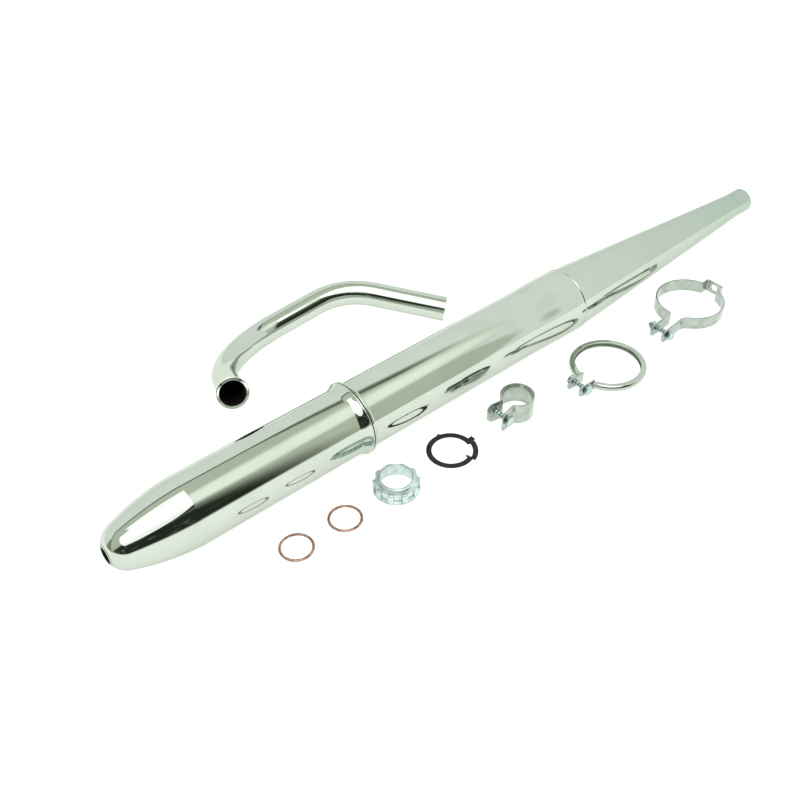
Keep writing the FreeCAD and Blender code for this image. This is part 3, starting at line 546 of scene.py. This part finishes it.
def softened(node, name, edgeRound, material, sharp=32.0):
    # a copy of a CAD piece with its corners rounded
    piece = bpy.data.objects.new(name, frame["nodes"][node].data.copy())
    bpy.context.scene.collection.objects.link(piece)
    shape = bmesh.new()
    shape.from_mesh(piece.data)
    bmesh.ops.remove_doubles(shape, verts=shape.verts, dist=2e-6)
    bmesh.ops.dissolve_limit(shape, angle_limit=math.radians(0.6), verts=shape.verts, edges=shape.edges)
    corners = [edge for edge in shape.edges
               if len(edge.link_faces) == 2 and edge.calc_face_angle(0) > math.radians(sharp)]
    bmesh.ops.bevel(shape, geom=corners, offset=edgeRound * mm, segments=2, profile=0.6,
                    affect="EDGES", clamp_overlap=True)
    bmesh.ops.triangulate(shape, faces=[face for face in shape.faces if len(face.verts) > 4])
    for face in shape.faces:
        face.smooth = True
        face.material_index = 0
    shape.normal_update()
    for edge in shape.edges:
        edge.smooth = len(edge.link_faces) == 2 and edge.calc_face_angle(0) < math.radians(sharp)
    shape.to_mesh(piece.data)
    shape.free()
    piece.data.materials.clear()
    piece.data.materials.append(material)
    return piece


def centreOf(node):
    low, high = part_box(node)
    return (low + high) / 2 / mm


sealRing = {"middle": 15.5, "wide": 1.4, "thick": 1.0, "steps": 28, "seamAt": 25, "seam": 0.16}


def makeSealRing(node, name, s):
    # folded copper ring: a flattened round section with the seam's groove along its outside
    centre = centreOf(node)

    def upwards(station):
        return Vector((centre.x, centre.y, station)), Vector((1, 0, 0)), Vector((0, 1, 0))

    section = []
    for index in range(s["steps"]):
        turn = 2 * math.pi * index / s["steps"]
        share = 1 - s["seam"] if index == s["seamAt"] else 1
        level = s["thick"] * (1 + share * math.sin(turn))
        section.append((level, s["middle"] + s["wide"] * share * math.cos(turn)))
    ring = turned(name, [section], upwards, 120, [copper])
    joinTo(ring, node, "copper", node)


makeSealRing("copper_ring_1", "sealRingOne", sealRing)
makeSealRing("copper_ring_2", "sealRingTwo", sealRing)

lockRing = softened("lock_ring", "lockRing", 0.25, blackSteel)
joinTo(lockRing, "lock_ring", "black_steel", "lock_ring")

collarNut = {
    "high": 16.0, "base": 23.2, "baseHigh": 2.4, "baseEdge": 0.5, "shelfEdge": 0.7, "foot": 0.6,
    "body": 20.8, "shoulderFrom": 11.2, "shoulderTo": (12.95, 19.9), "shoulderArc": 1.8,
    "crownFrom": (15.2, 17.9), "crownTo": 16.8, "crownArc": 1.2,
    "lip": 15.3, "lipEdge": 0.6, "thread": 18.0, "threadLong": 11.4, "relief": 0.8,
    "lugs": 10, "lugWide": 6.2, "lugHigh": 11.6, "lugOut": 23.0, "lugRoot": 1.6,
}


def newGeometryTree(name, sizes):
    tree = bpy.data.node_groups.new(name, "GeometryNodeTree")
    tree.is_modifier = True
    tree.interface.new_socket("Geometry", in_out="OUTPUT", socket_type="NodeSocketGeometry")
    sockets = {}
    for label, (kind, value) in sizes.items():
        socket = tree.interface.new_socket(label, in_out="INPUT", socket_type=kind)
        socket.default_value = value
        sockets[label] = socket.identifier
    return tree, sockets, addNode(tree, "NodeGroupInput"), addNode(tree, "NodeGroupOutput")


def meshFromTree(name, tree, sockets, values):
    # runs a tree once and keeps its result as a plain mesh
    holder = bpy.data.objects.new(name, bpy.data.meshes.new(name))
    bpy.context.scene.collection.objects.link(holder)
    modifier = holder.modifiers.new(name, "NODES")
    modifier.node_group = tree
    for label, value in values.items():
        modifier[sockets[label]] = value
    view = bpy.context.evaluated_depsgraph_get()
    mesh = bpy.data.meshes.new_from_object(holder.evaluated_get(view), depsgraph=view)
    bpy.data.objects.remove(holder)
    return mesh


def finishTree(tree, geometry, material, output):
    realised = addNode(tree, "GeometryNodeRealizeInstances", links={"Geometry": geometry})
    painted = addNode(tree, "GeometryNodeSetMaterial", {"Material": material},
                      {"Geometry": realised.outputs["Geometry"]})
    tree.links.new(painted.outputs["Geometry"], output.inputs["Geometry"])


def lugTree():
    # wrench lugs set round a circle, each a block softened by subdivision
    number, whole = "NodeSocketFloat", "NodeSocketInt"
    tree, sockets, given, output = newGeometryTree("wrenchLugs", {
        "Count": (whole, 10), "Circle Radius": (number, 0.02), "Depth": (number, 0.004),
        "Width": (number, 0.006), "Height": (number, 0.012)})
    circle = addNode(tree, "GeometryNodeMeshCircle",
                     links={"Vertices": given.outputs["Count"], "Radius": given.outputs["Circle Radius"]})
    size = addNode(tree, "ShaderNodeCombineXYZ", links={
        "X": given.outputs["Depth"], "Y": given.outputs["Width"], "Z": given.outputs["Height"]})
    block = addNode(tree, "GeometryNodeMeshCube", {"Vertices X": 3, "Vertices Y": 4, "Vertices Z": 5},
                    {"Size": size.outputs["Vector"]})
    soft = addNode(tree, "GeometryNodeSubdivisionSurface", {"Level": 1}, {"Mesh": block.outputs["Mesh"]})
    place = addNode(tree, "GeometryNodeInputPosition")
    aim = addNode(tree, "FunctionNodeAlignRotationToVector", links={"Vector": place.outputs["Position"]},
                  axis="X")
    spread = addNode(tree, "GeometryNodeInstanceOnPoints", links={
        "Points": circle.outputs["Mesh"], "Instance": soft.outputs["Mesh"],
        "Rotation": aim.outputs["Rotation"]})
    finishTree(tree, spread.outputs["Instances"], zincCasting, output)
    return tree, sockets


def joinMesh(piece, mesh, shift):
    # adds another mesh to a piece, moved by shift
    mesh.transform(Matrix.Translation(shift))
    shape = bmesh.new()
    shape.from_mesh(piece.data)
    shape.from_mesh(mesh)
    bmesh.ops.recalc_face_normals(shape, faces=shape.faces)
    for face in shape.faces:
        face.smooth = True
    shape.to_mesh(piece.data)
    shape.free()


def makeCollarNut(n):
    centre = centreOf("collar_nut")

    def upwards(station):
        return Vector((centre.x, centre.y, station)), Vector((1, 0, 0)), Vector((0, 1, 0))

    step = n["threadLong"] + n["relief"]
    edge, shelf, lipEdge = n["baseEdge"], n["shelfEdge"], n["lipEdge"]
    nut = turned("collarNut", [
        lineRun((0, n["thread"]), (0, n["base"] - edge)),
        arcRun((0, n["base"] - edge), (edge, n["base"]), edge, 1, 4),
        lineRun((edge, n["base"]), (n["baseHigh"] - shelf, n["base"])),
        arcRun((n["baseHigh"] - shelf, n["base"]), (n["baseHigh"], n["base"] - shelf), shelf, 1, 5),
        lineRun((n["baseHigh"], n["base"] - shelf), (n["baseHigh"] + n["foot"], n["body"]), 0.8),
        lineRun((n["baseHigh"] + n["foot"], n["body"]), (n["shoulderFrom"], n["body"]), 2),
        arcRun((n["shoulderFrom"], n["body"]), n["shoulderTo"], n["shoulderArc"], 1, 6),
        lineRun(n["shoulderTo"], n["crownFrom"], 1),
        arcRun(n["crownFrom"], (n["high"], n["crownTo"]), n["crownArc"], 1, 5),
        lineRun((n["high"], n["crownTo"]), (n["high"], n["lip"] + lipEdge)),
        arcRun((n["high"], n["lip"] + lipEdge), (n["high"] - lipEdge, n["lip"]), lipEdge, 1, 5),
        lineRun((n["high"] - lipEdge, n["lip"]), (step, n["lip"])),
        lineRun((step, n["lip"]), (n["threadLong"], n["thread"])),
        lineRun((n["threadLong"], n["thread"]), (0, n["thread"]), 1)],
        upwards, 160, [zincCasting])
    tree, sockets = lugTree()
    depth = n["lugOut"] - n["body"] + n["lugRoot"]
    lugs = meshFromTree("nutLugs", tree, sockets, {
        "Count": n["lugs"], "Circle Radius": (n["lugOut"] - depth / 2) * mm, "Depth": depth * mm,
        "Width": n["lugWide"] * mm, "Height": n["lugHigh"] * mm})
    joinMesh(nut, lugs, Vector((centre.x, centre.y, n["lugHigh"] / 2)) * mm)
    joinTo(nut, "collar_nut", "zinc_casting", "collar_nut")
    print("collar nut cast, %d lugs" % n["lugs"])


makeCollarNut(collarNut)

bolt = {"crest": 2.98, "root": 2.5, "pitch": 1.0, "tipGap": 0.4, "headHigh": 4.0, "headShare": 0.998,
        "edgeRound": 0.5}


def threadTree():
    # a ridge wound round a plain core
    number = "NodeSocketFloat"
    tree, sockets, given, output = newGeometryTree("rolledThread", {
        "Length": (number, 0.03), "Core Radius": (number, 0.0025), "Ridge": (number, 0.0005),
        "Pitch": (number, 0.001)})
    turns = addNode(tree, "ShaderNodeMath", links={0: given.outputs["Length"], 1: given.outputs["Pitch"]},
                    operation="DIVIDE")
    winding = addNode(tree, "GeometryNodeCurveSpiral", {"Resolution": 20}, {
        "Rotations": turns.outputs["Value"], "Start Radius": given.outputs["Core Radius"],
        "End Radius": given.outputs["Core Radius"], "Height": given.outputs["Length"]})
    ridge = addNode(tree, "GeometryNodeCurvePrimitiveCircle", {"Resolution": 4},
                    {"Radius": given.outputs["Ridge"]})
    wound = addNode(tree, "GeometryNodeCurveToMesh", {"Fill Caps": True},
                    {"Curve": winding.outputs["Curve"], "Profile Curve": ridge.outputs["Curve"]})
    core = addNode(tree, "GeometryNodeMeshCylinder", {"Vertices": 32}, {
        "Radius": given.outputs["Core Radius"], "Depth": given.outputs["Length"]})
    half = addNode(tree, "ShaderNodeMath", {1: 0.5}, {0: given.outputs["Length"]}, operation="MULTIPLY")
    lift = addNode(tree, "ShaderNodeCombineXYZ", links={"Z": half.outputs["Value"]})
    raised = addNode(tree, "GeometryNodeTransform", links={
        "Geometry": core.outputs["Mesh"], "Translation": lift.outputs["Vector"]})
    both = addNode(tree, "GeometryNodeJoinGeometry")
    tree.links.new(wound.outputs["Mesh"], both.inputs["Geometry"])
    tree.links.new(raised.outputs["Geometry"], both.inputs["Geometry"])
    finishTree(tree, both.outputs["Geometry"], zincBolt, output)
    return tree, sockets


thread = threadTree()


def hexBlock(radius, high, edgeRound):
    # a hexagon with all its edges rounded
    shape = bmesh.new()
    bmesh.ops.create_cone(shape, cap_ends=True, segments=6, radius1=radius, radius2=radius, depth=high)
    bmesh.ops.bevel(shape, geom=list(shape.edges), offset=edgeRound, segments=2, profile=0.5,
                    affect="EDGES", clamp_overlap=True)
    mesh = bpy.data.meshes.new("hexBlock")
    shape.to_mesh(mesh)
    shape.free()
    return mesh


def makeBolt(node, body, name, b):
    low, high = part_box(node)
    centre = (low + high) / 2
    headHigh = b["headHigh"] * mm
    wide = high.x - low.x > high.z - low.z
    flats = min(high.x - low.x, high.z - low.z)
    length = high.y - low.y - headHigh
    tree, sockets = thread
    mesh = meshFromTree(name + "Thread", tree, sockets, {
        "Length": length - b["tipGap"] * mm, "Core Radius": b["root"] * mm,
        "Ridge": (b["crest"] - b["root"]) * mm, "Pitch": b["pitch"] * mm})
    alongY = Matrix.Rotation(math.radians(-90), 4, "X")
    mesh.transform(Matrix.Translation((centre.x, low.y + headHigh, centre.z)) @ alongY)
    head = hexBlock(flats / math.sqrt(3) * b["headShare"], headHigh, b["edgeRound"] * mm)
    head.transform(Matrix.Rotation(math.radians(30 if wide else 0), 4, "Z"))
    head.transform(Matrix.Translation((centre.x, low.y + headHigh / 2, centre.z)) @ alongY)
    piece = bpy.data.objects.new(name, mesh)
    bpy.context.scene.collection.objects.link(piece)
    joinMesh(piece, head, Vector())
    for face in piece.data.polygons:
        face.material_index = 0
    piece.data.materials.clear()
    piece.data.materials.append(zincBolt)
    piece.data.set_sharp_from_angle(angle=math.radians(40))
    joinTo(piece, body, "zinc_bolt", node)


for label in ("pipe_clamp", "ring_clamp", "mount_clamp"):
    words = label.split("_")
    plain = words[0] + words[1].capitalize()
    makeBolt(label + "_bolt", label + "_bolt", plain + "Bolt", bolt)
    nut = label + "_nut"
    joinTo(softened(nut, plain + "Nut", 0.4, zincBolt), nut, "zinc_bolt", nut)
print("bolts threaded")

for node, body, name, edgeRound in (("pipe_clamp_band", "pipe_clamp", "pipeClampStrip", 0.3),
                                    ("mount_clamp_band", "mount_clamp", "mountClampStrip", 0.4),
                                    ("ring_clamp_lug_near", "ring_clamp", "ringLugNear", 0.3),
                                    ("ring_clamp_lug_far", "ring_clamp", "ringLugFar", 0.3)):
    joinTo(softened(node, name, edgeRound, zincStrip), body, "zinc_plate", node)

ringClamp = {"inner": 35.3, "leg": 39.0, "crown": 3.7, "bulge": 2.5, "high": 7.0, "thick": 1.2,
             "near": -13.0, "far": 5.0, "segments": 220, "edge": 0.3}


def makeRingClamp(r):
    # a rolled channel, open towards the inside, with parallel ends at the gap
    low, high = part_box("ring_clamp_band")
    centre = Vector((high.x / mm - r["leg"] - r["bulge"], (low.y + high.y) / 2 / mm, low.z / mm))
    inner, edge, top, web = r["inner"], r["edge"], r["high"], r["high"] - r["thick"]
    runs = (lineRun((inner + edge, 0), (r["leg"], 0))
            + arcRun((r["leg"], 0), (r["leg"], top), r["crown"], 1, 30)
            + lineRun((r["leg"], top), (inner + edge, top))
            + arcRun((inner + edge, top), (inner, top - edge), edge, 1, 4)
            + lineRun((inner, top - edge), (inner, web))
            + lineRun((inner, web), (r["leg"], web))
            + arcRun((r["leg"], web), (r["leg"], r["thick"]), r["crown"] - r["thick"], -1, 16)
            + lineRun((r["leg"], r["thick"]), (inner, r["thick"]))
            + lineRun((inner, r["thick"]), (inner, edge))
            + arcRun((inner, edge), (inner + edge, 0), edge, 1, 4))
    shape = bmesh.new()
    rings = []
    for radius, level in runs:
        first = -math.pi + math.asin(-r["near"] / radius)
        last = math.pi - math.asin(r["far"] / radius)
        ring = []
        for index in range(r["segments"] + 1):
            turn = first + (last - first) * index / r["segments"]
            spoke = Vector((radius * math.cos(turn), radius * math.sin(turn), level))
            ring.append(shape.verts.new((centre + spoke) * mm))
        rings.append(ring)
    for number, ring in enumerate(rings):
        following = rings[(number + 1) % len(rings)]
        for index in range(r["segments"]):
            face = shape.faces.new((ring[index], ring[index + 1], following[index + 1], following[index]))
            face.smooth = True
    shape.faces.new([ring[0] for ring in rings])
    shape.faces.new([ring[-1] for ring in reversed(rings)])
    bmesh.ops.recalc_face_normals(shape, faces=shape.faces)
    shape.normal_update()
    for edge in shape.edges:
        if len(edge.link_faces) == 2 and edge.calc_face_angle(0) > math.radians(35):
            edge.smooth = False
    mesh = bpy.data.meshes.new("ringClampChannel")
    shape.to_mesh(mesh)
    shape.free()
    mesh.materials.append(clampChrome)
    piece = bpy.data.objects.new("ringClampChannel", mesh)
    bpy.context.scene.collection.objects.link(piece)
    joinTo(piece, "ring_clamp", "chrome", "ring_clamp_band")


makeRingClamp(ringClamp)

for node in ("baffle_front", "baffle_middle", "baffle_rear", "core_tube", "slip_sleeve",
             "divider_plate", "transfer_tube", "counter_cone"):
    for slot in frame["nodes"][node].material_slots:
        slot.material = innerSteel
print("clamps and inner parts finished")


table = {"half": 6.0, "level": -0.0003}


def makeTable(t):
    corners = [(x * t["half"], y * t["half"], t["level"]) for x, y in ((-1, -1), (1, -1), (1, 1), (-1, 1))]
    mesh = bpy.data.meshes.new("whiteTable")
    mesh.from_pydata(corners, [], [(0, 1, 2, 3)])
    mesh.materials.append(makeFloor())
    piece = bpy.data.objects.new("whiteTable", mesh)
    bpy.context.scene.collection.objects.link(piece)


makeTable(table)

# what stands round the table, as the polished tubes mirror it; a side is where x*a + y*b + z*c is below zero,
# and a glow is its middle, its full and its outer angle in degrees, its tint and its strength
studio = {
    "wall": "F4F8F6", "wallLight": 1.26, "ceiling": "E4EADA", "lowCeiling": "E1E7D6", "hemTint": "767C6C",
    "dark": "323630", "shelf": "747C70", "leftWall": "A4A897",
    "box": (-0.34, 0.18, -0.49, 0.25), "boxLight": 1.9,
    "back": (0, 1, -0.70), "rightHigh": (1, 0.22, -0.66), "rightLow": (1, 0.66, -0.289), "hem": 0.10,
    "darkSide": (0.917, 0.399, 0.0), "darkTop": (0.0, 0.60, 0.42), "shelfGrain": 5.0,
    "leftSides": ((0.5, 0.866, 0.0), (0.574, -0.819, 0.0), (1.0, 0.0, 1.0)),
    "glows": (((0.65, -0.26, 1.0), 8, 22, "FAFFF0", 1.12), ((0.43, -0.40, 1.0), 7, 21, "FBFFF8", 1.49)),
}


def sideOf(tree, direction, plane, soft):
    # 1 on the side where the sum is below zero, 0 on the other, with a soft edge
    total = addNode(tree, "ShaderNodeVectorMath", {1: plane}, {0: direction}, operation="DOT_PRODUCT")
    return addNode(tree, "ShaderNodeMapRange",
                   {"From Min": -soft, "From Max": soft, "To Min": 1.0, "To Max": 0.0},
                   {"Value": total.outputs["Value"]}, interpolation_type="SMOOTHSTEP").outputs["Result"]


def combine(tree, kind, first, second):
    return addNode(tree, "ShaderNodeMath", links={0: first, 1: second}, operation=kind).outputs["Value"]


def layer(tree, below, above, mask):
    mix = addNode(tree, "ShaderNodeMix", links={0: mask, 6: below, 7: above}, data_type="RGBA")
    return mix.outputs[2]


def plainColour(tree, code, strength=1.0):
    red, green, blue = [channel * strength for channel in colour(code)[:3]]
    mixed = addNode(tree, "ShaderNodeCombineColor", {"Red": red, "Green": green, "Blue": blue})
    return mixed.outputs["Color"]


def makeStudio(s):
    world = bpy.data.worlds.new("studioTent")
    bpy.context.scene.world = world
    world.use_nodes = True
    tree = world.node_tree
    tree.nodes.clear()
    direction = addNode(tree, "ShaderNodeTexCoord").outputs["Generated"]
    parts = addNode(tree, "ShaderNodeSeparateXYZ", links={"Vector": direction})
    picture = plainColour(tree, s["wall"], s["wallLight"])
    # the left wall, low down
    left = None
    for plane in s["leftSides"]:
        side = sideOf(tree, direction, plane, 0.05)
        left = side if left is None else combine(tree, "MULTIPLY", left, side)
    picture = layer(tree, picture, plainColour(tree, s["leftWall"]), left)
    # the ceiling cloth, a little darker low down
    cloth = layer(tree, plainColour(tree, s["lowCeiling"]), plainColour(tree, s["ceiling"]),
                  addRange(tree, parts.outputs["Z"], 0.1, 0.9, 0, 1))
    right = combine(tree, "MAXIMUM", sideOf(tree, direction, s["rightHigh"], 0.05),
                    sideOf(tree, direction, s["rightLow"], 0.012))
    ceiling = combine(tree, "MULTIPLY", right, sideOf(tree, direction, s["back"], 0.012))
    picture = layer(tree, picture, cloth, ceiling)
    # lamps behind the cloth
    for middle, full, outer, tint, strength in s["glows"]:
        aim = Vector(middle).normalized()
        nearness = addNode(tree, "ShaderNodeVectorMath", {1: aim}, {0: direction}, operation="DOT_PRODUCT")
        reach = {"From Min": math.cos(math.radians(outer)), "From Max": math.cos(math.radians(full))}
        glow = addNode(tree, "ShaderNodeMapRange", reach, {"Value": nearness.outputs["Value"]},
                       interpolation_type="SMOOTHSTEP").outputs["Result"]
        picture = layer(tree, picture, plainColour(tree, tint, strength),
                        combine(tree, "MULTIPLY", glow, ceiling))
    # its dark hem along the back and the right
    inner = combine(tree, "MULTIPLY",
                    sideOf(tree, direction, Vector(s["back"]) + Vector((0, 0, s["hem"])), 0.03),
                    sideOf(tree, direction, Vector(s["rightHigh"]) + Vector((0, 0, s["hem"])), 0.03))
    band = combine(tree, "SUBTRACT", ceiling, inner)
    fade = addNode(tree, "ShaderNodeMapRange", {"From Min": -0.02, "From Max": 0.18},
                   {"Value": parts.outputs["Y"]}, interpolation_type="SMOOTHSTEP").outputs["Result"]
    picture = layer(tree, picture, plainColour(tree, s["hemTint"]), combine(tree, "MULTIPLY", band, fade))
    # the unlit room on the open side, with pale things on its shelves
    things = addNode(tree, "ShaderNodeTexNoise", {"Scale": s["shelfGrain"], "Detail": 3.0},
                     {"Vector": direction}).outputs["Fac"]
    shelves = layer(tree, plainColour(tree, s["dark"]), plainColour(tree, s["shelf"]),
                    addRange(tree, things, 0.56, 0.64, 0, 1))
    room = combine(tree, "MULTIPLY", sideOf(tree, direction, s["darkSide"], 0.08),
                   sideOf(tree, direction, s["darkTop"], 0.05))
    room = combine(tree, "MULTIPLY", room, addRange(tree, parts.outputs["Z"], 0.03, 0.07, 0, 1))
    picture = layer(tree, picture, shelves, room)
    # the softbox overhead
    low, high, front, back = s["box"]
    window = combine(tree, "MULTIPLY",
                     combine(tree, "MULTIPLY", sideOf(tree, direction, (-1, 0, low), 0.02),
                             sideOf(tree, direction, (1, 0, -high), 0.02)),
                     combine(tree, "MULTIPLY", sideOf(tree, direction, (0, -1, front), 0.03),
                             sideOf(tree, direction, (0, 1, -back), 0.03)))
    window = combine(tree, "MULTIPLY", window, sideOf(tree, direction, (0, 0, -1), 0.05))
    picture = layer(tree, picture, plainColour(tree, "FFFFFF", s["boxLight"]), window)
    seen = addNode(tree, "ShaderNodeBackground", {"Color": colour("FBFCFB"), "Strength": 1.05})
    mirrored = addNode(tree, "ShaderNodeBackground", {"Strength": 1.0}, {"Color": picture})
    eye = addNode(tree, "ShaderNodeLightPath").outputs["Is Camera Ray"]
    both = addNode(tree, "ShaderNodeMixShader", links={0: eye, 1: mirrored.outputs[0], 2: seen.outputs[0]})
    addNode(tree, "ShaderNodeOutputWorld", links={"Surface": both.outputs[0]})


makeStudio(studio)

overhead = {"strength": 0.9, "softness": 50, "tilt": (24, -14)}
light = bpy.data.lights.new("softOverhead", "SUN")
light.energy = overhead["strength"]
light.angle = math.radians(overhead["softness"])
light.specular_factor = 0.0
lamp = bpy.data.objects.new("softOverhead", light)
lamp.rotation_euler = (math.radians(overhead["tilt"][0]), math.radians(overhead["tilt"][1]), 0)
bpy.context.scene.collection.objects.link(lamp)

view = {"place": (-0.61397, -0.64770, 0.71799), "turn": -39.25, "down": 41.39, "roll": 1.09, "lens": 46.36}
camera = bpy.data.objects.new("camera", bpy.data.cameras.new("camera"))
camera.data.lens = view["lens"]
camera.data.sensor_width = 36.0
camera.data.clip_start = 0.01
camera.matrix_world = (Matrix.Translation(view["place"]) @ Matrix.Rotation(math.radians(view["turn"]), 4, "Z")
                       @ Matrix.Rotation(math.radians(90 - view["down"]), 4, "X")
                       @ Matrix.Rotation(math.radians(-view["roll"]), 4, "Z"))
bpy.context.scene.collection.objects.link(camera)
bpy.context.scene.camera = camera
bpy.context.scene.view_settings.view_transform = "Standard"
print("table, light and camera set")
